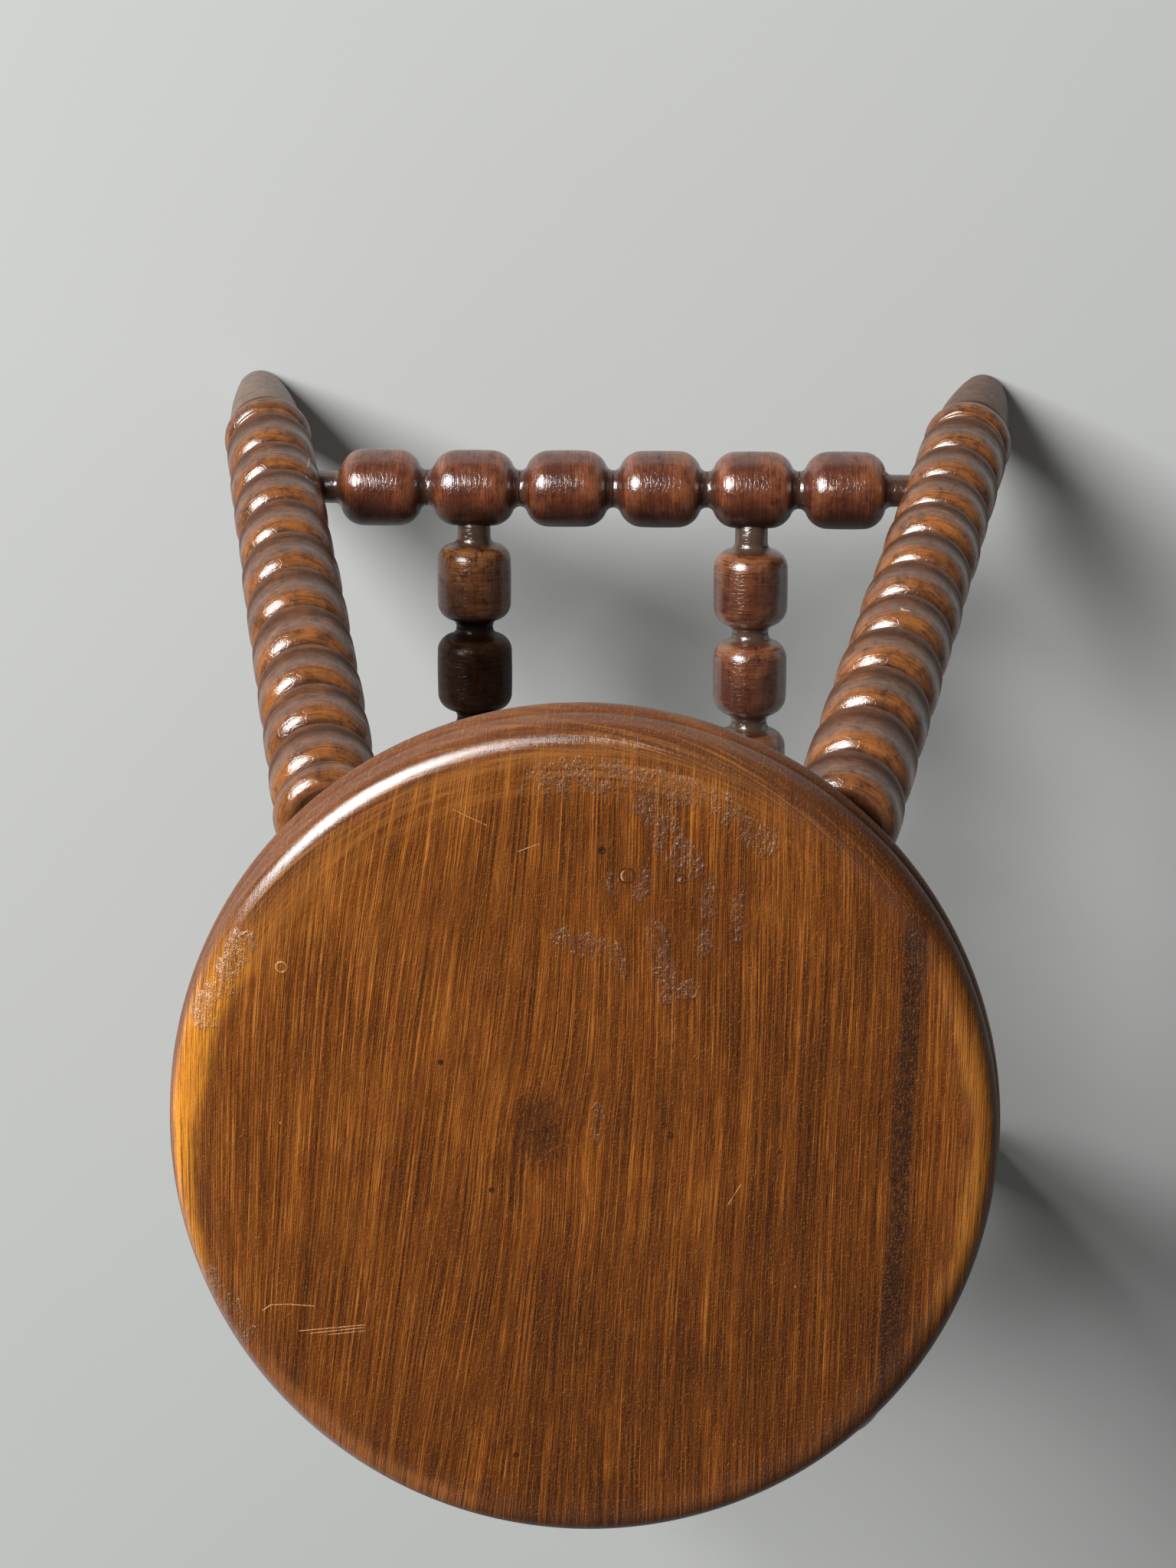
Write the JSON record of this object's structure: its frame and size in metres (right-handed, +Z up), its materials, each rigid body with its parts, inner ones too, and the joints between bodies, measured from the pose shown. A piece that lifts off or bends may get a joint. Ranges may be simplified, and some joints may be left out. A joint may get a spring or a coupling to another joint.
{
  "type": "wooden stool",
  "caption": "Wooden stool: round one-board seat with a beaded edge on splayed bobbin-turned legs, tied low down by bobbin-turned side and cross stretchers.",
  "frame": {"origin": "on the floor, under the centre of the seat, which is the centre of the stool's bounding box at its base", "axes": "+Z up; X along the side stretchers, +X towards leg_front_right; Y along the cross stretchers and the seat's grain, +Y towards the front legs"},
  "size_m": [0.3523, 0.3822, 0.49],
  "materials": {
    "seat_wood": "worn orange-brown satin lacquer",
    "leg_wood": "glossy dark brown stain and lacquer, worn golden on the shoulders",
    "stretcher_wood": "glossy dark reddish-brown stain and lacquer"
  },
  "bodies": {
    "root": {"seat": "seat_wood", "leg_front_left": "leg_wood", "leg_front_right": "leg_wood", "leg_back_left": "leg_wood", "leg_back_right": "leg_wood", "side_stretcher_front": "stretcher_wood", "side_stretcher_back": "stretcher_wood", "cross_stretcher_left": "stretcher_wood", "cross_stretcher_right": "stretcher_wood"}
  },
  "joints": []
}
